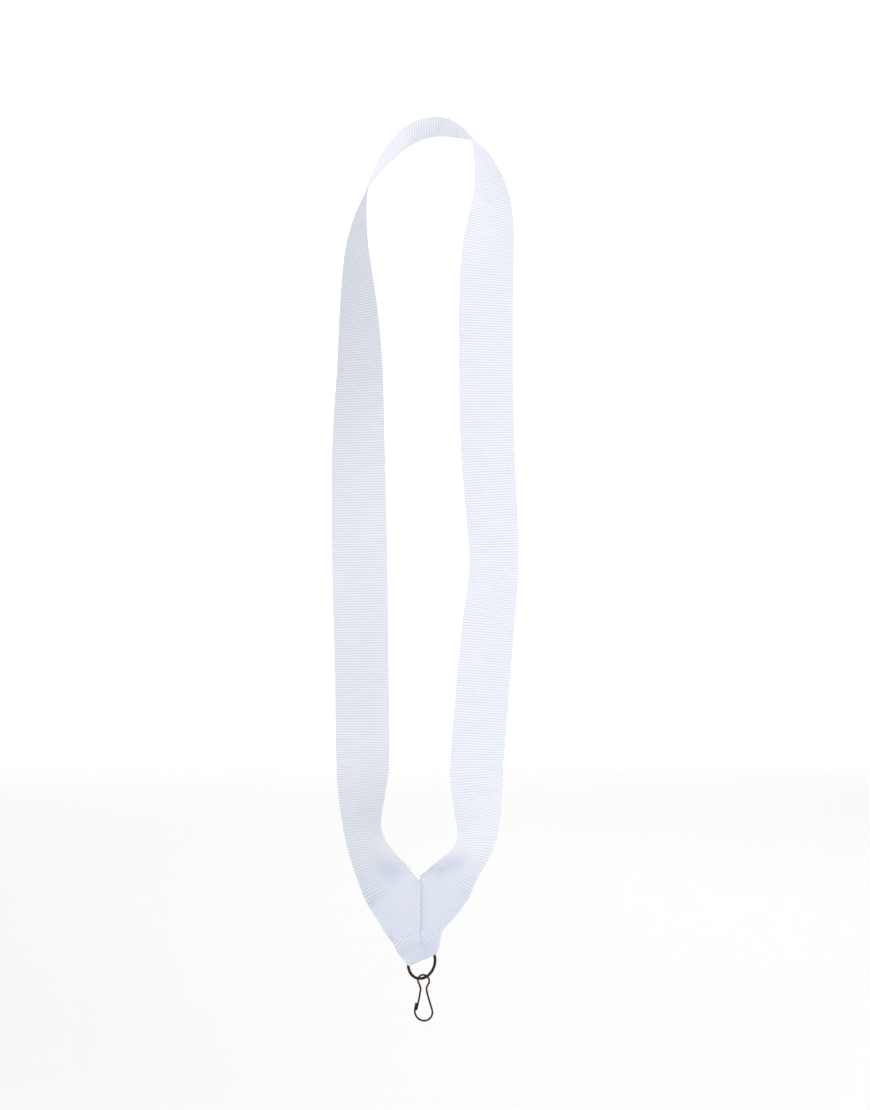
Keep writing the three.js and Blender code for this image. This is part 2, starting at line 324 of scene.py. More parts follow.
@dataclass(frozen=True)
class BronzeFinish:
    """Antique bronze plated wire: dark, with a copper warmth and rubbed patches."""

    dark: tuple[float, float, float] = (0.008, 0.005, 0.004)
    warm: tuple[float, float, float] = (0.13, 0.06, 0.045)

    def build(self) -> bpy.types.Material:
        """Make the material."""
        nodes = FinishNodes("antique_bronze")
        place = nodes.node("ShaderNodeTexCoord", {}, {}, "Object")
        rub = nodes.node(
            "ShaderNodeTexNoise", {}, {"Vector": place, "Scale": 260.0, "Detail": 4.0, "Roughness": 0.6}
        )
        grain = nodes.node("ShaderNodeTexNoise", {}, {"Vector": place, "Scale": 2600.0, "Detail": 3.0})
        colour = nodes.node(
            "ShaderNodeValToRGB",
            {"stops": [(0.35, rgba(*self.dark)), (0.8, rgba(*self.warm))]},
            {0: rub * 0.85 + grain * 0.15},
        )
        bump = nodes.node("ShaderNodeBump", {}, {"Strength": 0.2, "Distance": 0.00004, "Height": grain})
        rough = 0.24 + grain * 0.14 + rub * 0.06
        return nodes.surface(
            base_color=colour, roughness=rough, normal=bump, metallic=1.0, coat_weight=0.04
        )


_made: "dict[Finish, bpy.types.Material]" = {}


class Finish(Enum):
    """The finishes that pieces wear, each with the record's slot."""

    RIBBON = ("ribbon", GrosgrainFinish())
    THREAD = ("thread", ThreadFinish())
    BRONZE = ("bronze", BronzeFinish())

    def material(self) -> bpy.types.Material:
        """The finish's material, made once."""
        if self not in _made:
            _made[self] = self.value[1].build()
        return _made[self]



def finished(bm: bmesh.types.BMesh, name: str, finish: Finish, sharp: float = 50.0) -> bpy.types.Object:
    """Turn a bmesh in millimetres into a finished object in metres.

    Args:
        bm: The shape. It is freed.
        name: The object's name.
        finish: What it wears.
        sharp: Edges steeper than this, in degrees, stay crisp.

    Returns:
        The new object, in the scene.
    """
    bmesh.ops.scale(bm, vec=(MM, MM, MM), verts=bm.verts)
    for face in bm.faces:
        face.smooth = True
    mesh = bpy.data.meshes.new(name)
    bm.to_mesh(mesh)
    bm.free()
    mesh.set_sharp_from_angle(angle=math.radians(sharp))
    made = bpy.data.objects.new(name, mesh)
    made.data.materials.append(finish.material())
    bpy.context.scene.collection.objects.link(made)
    return made


# ---------------------------------------------------------------------------------------------
# Ribbon
# ---------------------------------------------------------------------------------------------


@dataclass(frozen=True)
class MitredEnd:
    """One end of the ribbon, where it meets the other on the vertical seam x = 0.

    Attributes:
        side: -1 on the left, 1 on the right.
        angle: How far the end leans from upright, in degrees.
        seam_top: Height of the top of the seam.
        yaw: How far the end's flat panel turns to the back on its right, in degrees.
        lead: How far the panel stays flat past the top of the seam.
        rolled: Rows of (distance from the seam, width of edge that is rolled under).
        proud: How far the cloth at the seam stands towards the front.
        tucked: How far the inner edge is drawn in, just past the top of the seam.
        buckled: How far the inner half of the bend above the panel bulges to the front.
        width: Width of the ribbon.
        buckle_start: Distance past the panel where the bulge starts.
        buckle_rise: Length over which it rises.
        buckle_turn: Distance past the panel where it starts to fall.
        buckle_fall: Length over which it falls.
        buckle_edge: Place across the ribbon where it ends.
        buckle_spread: Width over which it grows from there, inwards.
        tuck_middle: Distance past the panel where the inner edge is drawn in most.
        tuck_length: How far along the edge that reaches.
        tuck_edge: Place across the ribbon where it starts.
        tuck_spread: Width over which it grows from there, inwards.
    """

    side: int
    angle: float
    seam_top: float
    yaw: float
    lead: float
    rolled: tuple[tuple[float, float], ...]
    proud: float
    tucked: float
    buckled: float = 2.2
    width: float = 25.0
    buckle_start: float = 3.0
    buckle_rise: float = 15.0
    buckle_turn: float = 19.0
    buckle_fall: float = 30.0
    buckle_edge: float = 7.0
    buckle_spread: float = 14.0
    tuck_middle: float = 4.0
    tuck_length: float = 4.0
    tuck_edge: float = -4.0
    tuck_spread: float = 8.5

    def buckle(self, across: float, distance: float) -> float:
        """How far the inner half of the bend above the panel stands out to the front.

        Args:
            across: Place across the flat strip, outwards.
            distance: Distance from the end's seam along the middle line.

        Returns:
            The bulge.
        """
        rise = smooth((distance - self.reach - self.buckle_start) / self.buckle_rise)
        fall = 1 - smooth((distance - self.reach - self.buckle_turn) / self.buckle_fall)
        return self.buckled * rise * fall * smooth((self.buckle_edge - across) / self.buckle_spread)

    def tuck(self, across: float, distance: float) -> float:
        """How far the inner edge is drawn in and back where it leaves the top of the seam.

        Args:
            across: Place across the flat strip, outwards.
            distance: Distance from the end's seam along the middle line.

        Returns:
            The distance, used both inwards and backwards.
        """
        along = math.exp(-(((distance - self.reach - self.tuck_middle) / self.tuck_length) ** 2))
        return self.tucked * along * smooth((self.tuck_edge - across) / self.tuck_spread)

    @property
    def reach(self) -> float:
        """Length of the flat panel along the middle line."""
        return self.width / 2 / math.tan(math.radians(self.angle)) + self.lead

    def panel(self, distance: float, outwards: float) -> tuple[float, float]:
        """A point of the flat panel, from its distance along the middle line and outwards of it.

        Args:
            distance: Distance from the seam along the middle line.
            outwards: Distance from the middle line, outwards.

        Returns:
            The point's x and z.
        """
        sine, cosine = math.sin(math.radians(self.angle)), math.cos(math.radians(self.angle))
        middle = self.seam_top - self.width / 2 / sine
        x = self.side * (sine * distance + cosine * outwards)
        return x, middle + cosine * distance - sine * outwards

    def unpanel(self, x: float, z: float) -> tuple[float, float]:
        """The distance and the outward place of a panel point.

        Args:
            x: The point's x.
            z: The point's z.

        Returns:
            The distance along the middle line, and the place outwards of it.
        """
        sine, cosine = math.sin(math.radians(self.angle)), math.cos(math.radians(self.angle))
        up = z - (self.seam_top - self.width / 2 / sine)
        return self.side * x * sine + up * cosine, self.side * x * cosine - up * sine

    def place(self, x: float, behind: float, z: float) -> Vector:
        """A panel point in space.

        Args:
            x: The point's x in the flat panel.
            behind: How far it lies behind the panel.
            z: The point's z.

        Returns:
            The point.
        """
        yaw = math.radians(self.yaw)
        return Vector(
            (
                x * math.cos(yaw) - behind * math.sin(yaw),
                x * math.sin(yaw) + behind * math.cos(yaw),
                z,
            )
        )


@dataclass
class FoldedTip:
    """The tip of the V below the stitched row, folded round the ring and back up.

    In its own frame x runs along the fold, y to the back and z up from the fold's axis.
    """

    row_height: float = -355.2
    row_tilt: float = 10.0
    top: Vector = field(default_factory=lambda: Vector((-2.26, 0.5, -355.96)))
    yaw: float = 27.0
    roll: float = 17.0
    top_yaw: float = 9.0
    height: float = 10.6
    pocket_start: float = 3.95
    pocket_end: float = 7.6
    front_depth: float = 1.85
    back_depth: float = 1.3
    closed_depth: float = 0.3
    seam: tuple[tuple[float, float], ...] = ((0, 2.31), (10.8, 1.2), (25.5, -1.5))
    left: tuple[tuple[float, float], ...] = (
        (0, -10.8),
        (6, -10.3),
        (10.5, -8.8),
        (13.4, -6.9),
        (25.5, -1.5),
    )
    right: tuple[tuple[float, float], ...] = (
        (0, 12.6),
        (3.8, 11.2),
        (8.7, 8.6),
        (10.8, 7.4),
        (13.4, 5.2),
        (19.2, -0.8),
    )
    roll_radius: float = 0.4
    least_width: float = 0.5
    curve_steps: int = 24

    def __post_init__(self) -> None:
        """Work out the frame and the side view of the cloth."""
        self.turn = Euler((0, -math.radians(self.roll), math.radians(self.yaw)), "XYZ").to_matrix()
        self.axis_point = self.top - self.turn @ Vector((0, 0, self.height))
        radius = (self.front_depth + self.back_depth) / 2
        centre = (self.back_depth - self.front_depth) / 2
        steps = self.curve_steps
        down = [self.height * (1 - i / steps) for i in range(steps + 1)]
        line = [(-self.depth(h, self.front_depth), h) for h in down]
        for i in range(1, steps):
            angle = math.pi + math.pi * i / steps
            line.append((centre + radius * math.cos(angle), radius * math.sin(angle)))
        line += [(self.depth(h, self.back_depth), h) for h in reversed(down)]
        self.side_view = line
        self.lengths = [0.0]
        for (y0, h0), (y1, h1) in zip(line, line[1:]):
            self.lengths.append(self.lengths[-1] + math.hypot(y1 - y0, h1 - h0))

    def depth(self, height: float, open_depth: float) -> float:
        """Distance of one layer from the middle, at a height above the fold's axis."""
        shut = smooth((height - self.pocket_start) / (self.pocket_end - self.pocket_start))
        return open_depth + (self.closed_depth - open_depth) * shut

    def row_place(self, x: float, z: float) -> tuple[float, float]:
        """Distance along the row and below it, of a point in the panels' plane.

        Args:
            x: The point's x.
            z: The point's z.

        Returns:
            The distance along the row, and the distance below it.
        """
        tilt = math.radians(self.row_tilt)
        up = z - self.row_height
        return x * math.cos(tilt) + up * math.sin(tilt), x * math.sin(tilt) - up * math.cos(tilt)

    def row_point(self, along: float, below: float) -> tuple[float, float]:
        """The point in the panels' plane at a distance along the row and below it.

        Args:
            along: Distance along the row.
            below: Distance below the row.

        Returns:
            The point's x and z.
        """
        tilt = math.radians(self.row_tilt)
        x = along * math.cos(tilt) + below * math.sin(tilt)
        return x, self.row_height + along * math.sin(tilt) - below * math.cos(tilt)

    def place(self, side: int, along: float, below: float, edge: float) -> Vector:
        """Where a point of the flat cloth lies once the tip is folded.

        Args:
            side: -1 left of the seam, 1 right of it.
            along: Distance along the row.
            below: Distance below the row.
            edge: Where the cloth's cut edge lies at that distance below, along the row.

        Returns:
            The point in space.
        """
        seam_flat = -below * math.tan(math.radians(self.row_tilt))
        seam = along_table(self.seam, below)
        behind = 0.0
        if side < 0:
            share = (along - seam_flat) / min(edge - seam_flat, -self.least_width)
            x = seam + share * (along_table(self.left, below) - seam)
        else:
            x, behind = turned_under(
                seam + along - seam_flat, along_table(self.right, below), self.roll_radius
            )
        i = min(max(bisect.bisect_right(self.lengths, below) - 1, 0), len(self.side_view) - 2)
        share = (below - self.lengths[i]) / (self.lengths[i + 1] - self.lengths[i])
        (y0, h0), (y1, h1) = self.side_view[i], self.side_view[i + 1]
        y, h = y0 + (y1 - y0) * share, h0 + (h1 - h0) * share
        inwards = Vector((0.0, h1 - h0, y0 - y1)).normalized() * -behind
        y, h = y + inwards.y, h + inwards.z
        twist = (h - self.pocket_start) / (self.height - self.pocket_start)
        turn = math.radians(self.top_yaw - self.yaw) * min(max(twist, 0.0), 1.0)
        point = Vector(
            (x * math.cos(turn) - y * math.sin(turn), x * math.sin(turn) + y * math.cos(turn), h)
        )
        return self.axis_point + self.turn @ point


@dataclass(frozen=True)
class PaintedShadeAmounts:
    """Where shade is painted onto the cloth, on the mitred panels, the outer edge, the bends and the folded
    tip, and how much.

    Attributes:
        panel: Amount on the mitred panels.
        outer: Amount added towards the outer edge.
        bend: Amount on the inner half of the bend above a panel.
        tip: Amount on the folded tip.
        panel_fade: Distance past the panel where its amount starts to fade.
        end_fade: Distance past the panel where all of it starts to fade.
        fade: Length of both fades.
        outer_run: Width over which the outer amount grows.
        bend_along: Distance of the bend's middle past the panel.
        bend_length: How far along the ribbon the bend's amount reaches.
        bend_across: Place of the bend's middle across the ribbon.
        bend_width: How far across the ribbon it reaches.
        tip_start: Distance from the seam, on the middle line, where the tip's amount starts.
        tip_slant: How much nearer to the tip it starts for each millimetre outwards.
        tip_run: Length over which it grows.
    """

    # Each amount darkens the colour as painted shade.
    panel: float = 0.34
    outer: float = 0.14
    bend: float = 0.5
    tip: float = 0.3
    panel_fade: float = 2.0
    end_fade: float = 10.0
    fade: float = 24.0
    outer_run: float = 12.0
    bend_along: float = 13.0
    bend_length: float = 7.0
    bend_across: float = -5.0
    bend_width: float = 6.0
    tip_start: float = 8.0
    tip_slant: float = 0.7
    tip_run: float = 14.0

    def amount(self, across: float, distance: float, past_panel: float) -> float:
        """How much painted shade lies on one place of the cloth.

        Args:
            across: Place across the ribbon, outwards.
            distance: Distance from the nearer seam along the middle line.
            past_panel: Distance past the end of that end's flat panel.

        Returns:
            The amount, from 0 to 1.
        """
        panel = self.panel * (1 - smooth((past_panel - self.panel_fade) / self.fade))
        near_end = panel + self.outer * smooth(across / self.outer_run)
        along_bend = ((past_panel - self.bend_along) / self.bend_length) ** 2
        bend = math.exp(-along_bend - ((across - self.bend_across) / self.bend_width) ** 2)
        tip = smooth((self.tip_start - distance - across * self.tip_slant) / self.tip_run)
        faded = near_end * (1 - smooth((past_panel - self.end_fade) / self.fade))
        return min(faded + self.bend * bend + self.tip * tip, 1.0)


@dataclass
class GrosgrainRibbon:
    """The strip of ribbon: two mitred ends, the straps and the arc round the neck, and the tip.

    Attributes:
        width: Width of the ribbon.
        half_thickness: Half the cloth's thickness in a valley between ribs.
        rib_pitch: From one cross rib to the next.
        rib_relief: Height of a rib's crown over the valley.
        rib_roundness: Power of the rib's curve; lower is rounder.
        steps_per_rib: Rows of faces to one rib.
        columns: Columns of faces across the ribbon.
        allowance: Width of the seam allowance.
        seam_roll: Radius of the fold at the seam.
        seam_margin: Flat cloth left past the fold's start.
        seam_reach: How far from the seam the cloth stands proud.
        seam_rise: Distance above the row over which it starts to.
        edge_roll: Radius of the rolled outer edge.
        edge_scallop: How much the ribs scallop the outer edges.
        edge_thinning: Share of the thickness left at the outer edges.
        edge_tolerance: How near an edge a point counts as on it.
        sink: Distance below the row over which the panels become the folded tip.
        join: Distance past the panel over which it becomes the strap.
        pinch: How far the row of stitches draws the cloth in.
        pinch_reach: How far from the row that reaches.
        row_margin: Distance of the scored lines on each side of the row.
        tail: Spare cloth past each end, cut away later.
        end_zone: Distance from the seam within which the flat strip is scored and trimmed.
        settled: Distance from the seam past which the strap lies flat in its own frame.
        probe: Half the distance between the points that give the cloth's direction.
        seam_lines: Scored lines round the fold at the seam.
        fold_lines: Scored lines round the fold over the ring.
        fold_start: Distance below the row of the first of them.
        fold_length: Distance from the first of them to the last.
        roll_lines: Scored lines along the right end's rolled edge.
        roll_start: Place across the ribbon of the first of them.
        roll_pitch: From one of them to the next.
        roll_zone: Place across the ribbon past which they are scored.
        ripple: Depth of the cloth's slow waves.
        ripple_across: Waves to a millimetre across the ribbon.
        ripple_along: Waves to a millimetre along it.
        ripple_place: Which slice of the noise the waves come from.
        flex_above: How far above the row the first point of flex_line lies.
        flex_below: How far below the row its second point lies.
        samples_per_station: Points measured between two stations of the middle line.
        left: The left end.
        right: The right end.
        tip: The folded tip.
        painted_shading: Where and how much shade is painted onto the cloth.
    """

    width: float = 25.0
    half_thickness: float = 0.13
    rib_pitch: float = RIB_PITCH
    rib_relief: float = 0.17
    rib_roundness: float = 0.7
    steps_per_rib: int = 4
    columns: int = 10
    allowance: float = 6.0
    seam_roll: float = 0.25
    seam_margin: float = 0.2
    seam_reach: float = 2.5
    seam_rise: float = 3.0
    edge_roll: float = 0.45
    edge_scallop: float = 0.16
    edge_thinning: float = 0.55
    edge_tolerance: float = 0.01
    sink: float = 4.5
    join: float = 5.0
    pinch: float = 0.12
    pinch_reach: float = 0.9
    row_margin: float = 0.5
    tail: float = 24.0
    end_zone: float = 36.0
    settled: float = 72.0
    probe: float = 0.04
    seam_lines: int = 5
    fold_lines: int = 10
    fold_start: float = 10.9
    fold_length: float = 5.0
    roll_lines: int = 10
    roll_start: float = 8.0
    roll_pitch: float = 0.45
    roll_zone: float = 4.0
    ripple: float = 0.25
    ripple_across: float = 0.05
    ripple_along: float = 0.03
    ripple_place: float = 7.3
    flex_above: float = 1.2
    flex_below: float = 0.8
    samples_per_station: int = 60
    left: MitredEnd = MitredEnd(
        side=-1, angle=31, seam_top=-332.6, yaw=8, lead=0.7,
        rolled=((5, 1.0), (14, 0.0)), proud=0.45, tucked=0.7,
    )
    right: MitredEnd = MitredEnd(
        side=1, angle=34, seam_top=-330, yaw=9, lead=1,
        rolled=((5, 3.4), (12, 2.0), (20, 1.5), (32, 0.0)), proud=-0.55, tucked=1.7,
    )
    tip: FoldedTip = field(default_factory=FoldedTip)
    painted_shading: PaintedShadeAmounts = PaintedShadeAmounts()

    def __post_init__(self) -> None:
        """Lay out the middle line."""
        self.stations = [
            self.end_station(self.left, -10),
            self.end_station(self.left, 0),
            self.end_station(self.left, 9.5, 15),
            (-25.5, -4, -307.5, 42),
            (-25.5, -3, -276, 17),
            (-26, -1.5, -239, 16),
            (-27, -0.5, -186, 9),
            (-27.5, -0.5, -142, 19),
            (-27, 0, -105, 34),
            (-27.5, 0, -80, 46),
            (-28, 0, -47, 67),
            (-22.3, 0.5, -23, 86),
            (-8.5, 0.5, -5, 96),
            (4, 1, 1.2, 96),
            (15.5, 0.5, 0, 91),
            (26, 0, -7.5, 73),
            (31.7, -0.5, -29.3, 48),
            (29.5, 0, -61, 18),
            (29, 0, -103, 15),
            (30, 0, -145, 16),
            (32.5, -0.5, -190, 28),
            (29.8, -1.5, -221, 21),
            (27.5, -1.5, -248, 18),
            (25, -1.5, -281, 19),
            (24.8, 0, -312, 40),
            self.end_station(self.right, 9.5, 32),
            self.end_station(self.right, 0),
            self.end_station(self.right, -10),
        ]
        per_station = self.samples_per_station
        spans = len(self.stations) - 3
        self.samples = [1 + i / per_station for i in range(spans * per_station + 1)]
        self.reached = [0.0]
        last = self.middle(self.samples[0])[0]
        for t in self.samples[1:]:
            point = self.middle(t)[0]
            self.reached.append(self.reached[-1] + (point - last).length)
            last = point
        self.length = self.reached[-1]
        self.frames: dict[float, tuple[Vector, Vector, Vector]] = {}

    def end_station(
        self, end: MitredEnd, past: float, turn: float | None = None
    ) -> tuple[float, float, float, float]:
        """A station on one end's middle line, past the end of its flat panel.

        Args:
            end: Which end.
            past: How far past the panel.
            turn: How far the cloth is turned there, in degrees, or None for the panel's own turn.

        Returns:
            The station: its x, y, z and turn.
        """
        x, z = end.panel(end.reach + past, 0)
        point = end.place(x, 0, z)
        if turn is None:
            lean = math.cos(math.radians(end.angle)) * math.sin(math.radians(end.yaw))
            turn = end.side * math.degrees(math.asin(lean))
        return (point.x, point.y, point.z, turn)

    def middle(self, t: float) -> tuple[Vector, Vector, float]:
        """Point, direction and turn of the middle line at a station number.

        Args:
            t: Station number, with a fraction between two stations.

        Returns:
            The point, the direction, and the turn in degrees.
        """
        i = min(int(t), len(self.stations) - 2)
        p0, p1, p2, p3 = (
            Vector(self.stations[j]) for j in (i - 1, i, i + 1, min(i + 2, len(self.stations) - 1))
        )
        s = t - i
        m1, m2 = (p2 - p0) / 2, (p3 - p1) / 2
        a, b = 2 * p1 - 2 * p2 + m1 + m2, -3 * p1 + 3 * p2 - 2 * m1 - m2
        point = ((a * s + b) * s + m1) * s + p1
        slope = (3 * a * s + 2 * b) * s + m1
        return point.xyz, slope.xyz.normalized(), point.w

    def strap_frame(self, along: float) -> tuple[Vector, Vector, Vector]:
        """Middle, width direction and outward face of the strap at a distance along it.

        Args:
            along: Place along the strip.

        Returns:
            The point on the middle line, and the two directions.
        """
        key = round(along, 4)
        if key not in self.frames:
            i = min(max(bisect.bisect_right(self.reached, along) - 1, 0), len(self.reached) - 2)
            share = (along - self.reached[i]) / (self.reached[i + 1] - self.reached[i])
            t = self.samples[i] + share * (self.samples[i + 1] - self.samples[i])
            point, tangent, turn = self.middle(t)
            flat = Vector((-tangent.z, 0, tangent.x)).normalized()
            back = flat.cross(tangent)
            turn = math.radians(turn)
            across = flat * math.cos(turn) + back * math.sin(turn)
            self.frames[key] = (point, across, tangent.cross(across))
        return self.frames[key]

    def end_of(self, along: float) -> tuple[MitredEnd, float]:
        """The nearer end, and the distance of a place on the strip from that end's seam.

        Args:
            along: Place along the flat strip.

        Returns:
            The end and the distance.
        """
        if along < self.length / 2:
            return self.left, self.left.reach + along
        return self.right, self.right.reach + self.length - along

    def along_of(self, end: MitredEnd, distance: float) -> float:
        """Place on the strip of a distance from one end's seam.

        Args:
            end: Which end.
            distance: Distance from the end's seam along the middle line.

        Returns:
            The place along the strip.
        """
        if end.side < 0:
            return distance - end.reach
        return self.length + end.reach - distance

    def surface(self, across: float, along: float) -> Vector:
        """Middle of the cloth at a place of the flat strip.

        Args:
            across: Place across the flat strip, outwards.
            along: Place along the flat strip.

        Returns:
            The point in space.
        """
        end, distance = self.end_of(along)
        edge = self.width / 2 - along_table(end.rolled, distance)
        outwards, behind = turned_under(across, edge, self.edge_roll)
        tuck = end.tuck(across, distance)
        outwards, behind = outwards + tuck, behind + tuck
        past_panel = distance - end.reach
        if past_panel <= 0:
            return self.panel_surface(end, across, outwards, distance, behind)
        point, width, face = self.strap_frame(along)
        strap = point + width * outwards - face * (behind - end.buckle(across, distance))
        if past_panel >= self.join:
            return strap
        panel = self.panel_surface(end, across, outwards, distance, behind)
        return panel.lerp(strap, smooth(past_panel / self.join))

    def panel_surface(
        self, end: MitredEnd, across: float, outwards: float, distance: float, behind: float
    ) -> Vector:
        """Middle of the cloth in a mitred end, and below its row in the folded tip.

        Args:
            end: Which end.
            across: Place across the flat strip.
            outwards: The same place once the strip's outer edge is rolled under.
            distance: Distance from the seam along the middle line.
            behind: How far the rolled edge lies behind the cloth.

        Returns:
            The point in space.
        """
        x, z = end.panel(distance, outwards)
        reach_in, rolled = turned_under(-end.side * x, -self.seam_roll - self.seam_margin, self.seam_roll)
        near_seam = math.exp(-((end.side * x / self.seam_reach) ** 2))
        flat_x, flat_z = end.panel(distance, across)
        beside, below = self.tip.row_place(flat_x, flat_z)
        pinch = self.pinch * math.exp(-((below / self.pinch_reach) ** 2))
        proud = end.proud * near_seam * smooth(-below / self.seam_rise)
        depth = behind + rolled - proud + pinch
        panel = end.place(-end.side * reach_in, depth, z)
        if below <= 0:
            return panel
        cut = self.cut_edge(end, below)
        folded = self.tip.place(end.side, beside, below, cut)
        return panel.lerp(folded, smooth(below / self.sink))

    def cut_edge(self, end: MitredEnd, below: float) -> float:
        """Where the strip's outer edge lies along the row, at a distance below it.

        Args:
            end: Which end.
            below: Distance below the row.

        Returns:
            The distance along the row.
        """
        first = self.tip.row_place(*end.panel(0, self.width / 2))
        second = self.tip.row_place(*end.panel(10, self.width / 2))
        share = (below - first[1]) / (second[1] - first[1])
        return first[0] + share * (second[0] - first[0])

    def normal(self, across: float, along: float) -> Vector:
        """Outward direction of the cloth's face at a place of the flat strip.

        Args:
            across: Place across the flat strip, outwards.
            along: Place along the flat strip.

        Returns:
            The direction, of length 1.
        """
        if 0 <= along <= self.length and self.end_of(along)[1] > self.settled:
            return self.strap_frame(along)[2]
        step = self.probe
        wide = self.surface(across + step, along) - self.surface(across - step, along)
        long = self.surface(across, along + step) - self.surface(across, along - step)
        return long.cross(wide).normalized()

    def painted_shade(self, across: float, along: float) -> float:
        """How much painted shade lies on the cloth here, from 0 to 1."""
        end, distance = self.end_of(along)
        return self.painted_shading.amount(across, distance, distance - end.reach)

    def rib(self, along: float) -> float:
        """Height of the cross ribs, 0 in a valley and 1 on a crown."""
        return abs(math.sin(math.pi * along / self.rib_pitch)) ** self.rib_roundness

    def signed(self, end: MitredEnd, along: float) -> float:
        """Distance from one end's seam of a place on the strip."""
        return end.reach + (along if end.side < 0 else self.length - along)

    def past_seam(self, end: MitredEnd, across: float, along: float) -> float:
        """How far a place of the flat strip lies on its own end's side of the seam."""
        return end.side * end.panel(self.signed(end, along), across)[0]

    def below_row(self, end: MitredEnd, across: float, along: float) -> float:
        """How far a place of the flat strip lies below the stitched row."""
        return self.tip.row_place(*end.panel(self.signed(end, along), across))[1]

    def out_from_middle(self, end: MitredEnd, across: float, along: float) -> float:
        """How far a place of the flat strip lies from its middle line, outwards."""
        return across

    def scored_at(self, face: bmesh.types.BMFace, end: MitredEnd, outer: bool) -> bool:
        """Whether a flat face is near one end, and in the zone of its rolled edge if that is asked."""
        centre = face.calc_center_median()
        nearer, distance = self.end_of(centre.y)
        return nearer is end and distance < self.end_zone and (not outer or centre.x > self.roll_zone)

    def score(
        self,
        bm: bmesh.types.BMesh,
        end: MitredEnd,
        reading: Callable[[MitredEnd, float, float], float],
        value: float,
        outer: bool = False,
    ) -> None:
        """Cut the flat strip's faces near one end along the line where a reading has a value.

        Args:
            bm: The flat strip.
            end: Which end.
            reading: What is read at a place of the flat strip. It changes evenly over it.
            value: The reading on the line.
            outer: Whether only the zone of the rolled edge is cut.
        """
        near = [face for face in bm.faces if self.scored_at(face, end, outer)]
        start = self.along_of(end, 0)
        base = reading(end, 0, start)
        slope = Vector((reading(end, 1, start) - base, reading(end, 0, start + 1) - base, 0))
        place = Vector((0, start, 0)) + slope * ((value - base) / slope.length_squared)
        geometry = set(near)
        for face in near:
            geometry.update(face.edges)
            geometry.update(face.verts)
        bmesh.ops.bisect_plane(
            bm, geom=list(geometry), dist=1e-4, plane_co=place, plane_no=slope.normalized()
        )

    def flat_strip(self) -> bmesh.types.BMesh:
        """The flat strip, with both ends cut to their mitres and scored where they fold."""
        bm = bmesh.new()
        whole = self.length + self.left.reach + self.right.reach + 2 * self.tail
        ribs = math.ceil(whole / self.rib_pitch)
        start = -self.left.reach - self.tail
        steps = ribs * self.steps_per_rib
        bmesh.ops.create_grid(bm, x_segments=self.columns, y_segments=steps, size=0.5)
        bmesh.ops.scale(bm, vec=(self.width, ribs * self.rib_pitch, 1), verts=bm.verts)
        bmesh.ops.translate(bm, vec=(0, start + ribs * self.rib_pitch / 2, 0), verts=bm.verts)
        seam_start = self.seam_roll + self.seam_margin
        seam_length = math.pi * self.seam_roll
        for end in (self.left, self.right):
            for i in range(self.seam_lines):
                self.score(bm, end, self.past_seam, seam_start - seam_length * i / (self.seam_lines - 1))
            for value in (0.0, -self.allowance):
                self.score(bm, end, self.past_seam, value)
            for value in (-self.row_margin, 0.0, self.row_margin):
                self.score(bm, end, self.below_row, value)
            for i in range(self.fold_lines):
                below = self.fold_start + self.fold_length * i / (self.fold_lines - 1)
                self.score(bm, end, self.below_row, below)
        for i in range(self.roll_lines):
            place = self.roll_start + self.roll_pitch * i
            self.score(bm, self.right, self.out_from_middle, place, outer=True)
        self.trim(bm)
        return bm

    def trim(self, bm: bmesh.types.BMesh) -> None:
        """Take away what lies past the seam: all of it below the row, and past the allowance above.

        Args:
            bm: The flat strip.
        """
        waste = []
        for face in bm.faces:
            centre = face.calc_center_median()
            end, distance = self.end_of(centre.y)
            if distance > self.end_zone:
                continue
            x, z = end.panel(distance, centre.x)
            below = self.tip.row_place(x, z)[1]
            if end.side * x < -self.allowance or (below > -self.row_margin and end.side * x < 0):
                waste.append(face)
        bmesh.ops.delete(bm, geom=waste, context="FACES")

    def build(self) -> bpy.types.Object:
        """Make the ribbon."""
        bm = self.flat_strip()
        weave = bm.loops.layers.uv.new("weave")
        # Per-vertex amount of painted shade, read by the material.
        painted_shade = bm.verts.layers.float.new("painted_shade")
        bmesh.ops.solidify(bm, geom=bm.faces[:], thickness=1.0)
        for face in bm.faces:
            for loop in face.loops:
                loop[weave].uv = (loop.vert.co.x / WEAVE_UNIT, loop.vert.co.y / WEAVE_UNIT)
        middle = sum((v.co.z for v in bm.verts), 0.0) / len(bm.verts)
        for vert in bm.verts:
            across, along = vert.co.x, vert.co.y
            out = 1 if vert.co.z > middle else -1
            rib = self.rib(along)
            vert[painted_shade] = self.painted_shade(across, along)
            at_edge = abs(across) > self.width / 2 - self.edge_tolerance
            if at_edge:
                across += math.copysign(self.edge_scallop * (rib - 0.5), across)
            thick = self.half_thickness + self.rib_relief * rib
            thick *= self.edge_thinning if at_edge else 1.0
            point, face = self.surface(across, along), self.normal(across, along)
            wave = Vector((across * self.ripple_across, along * self.ripple_along, self.ripple_place))
            ripple = self.ripple * noise.noise(wave)
            vert.co = point + face * (out * thick + ripple)
        bmesh.ops.recalc_face_normals(bm, faces=bm.faces)
        ribbon = finished(bm, "grosgrain_ribbon", Finish.RIBBON)
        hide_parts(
            "ribbon_left_lower_strap", "ribbon_left_middle_strap", "ribbon_left_upper_strap",
            "ribbon_left_neck_arc", "ribbon_right_neck_arc",
            "ribbon_right_upper_strap", "ribbon_right_middle_strap", "ribbon_right_lower_strap",
            "ribbon_left_mitre", "ribbon_right_mitre", "ribbon_folded_tab",
        )
        start, end = self.flex_line()
        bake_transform(ribbon)
        return ribbon

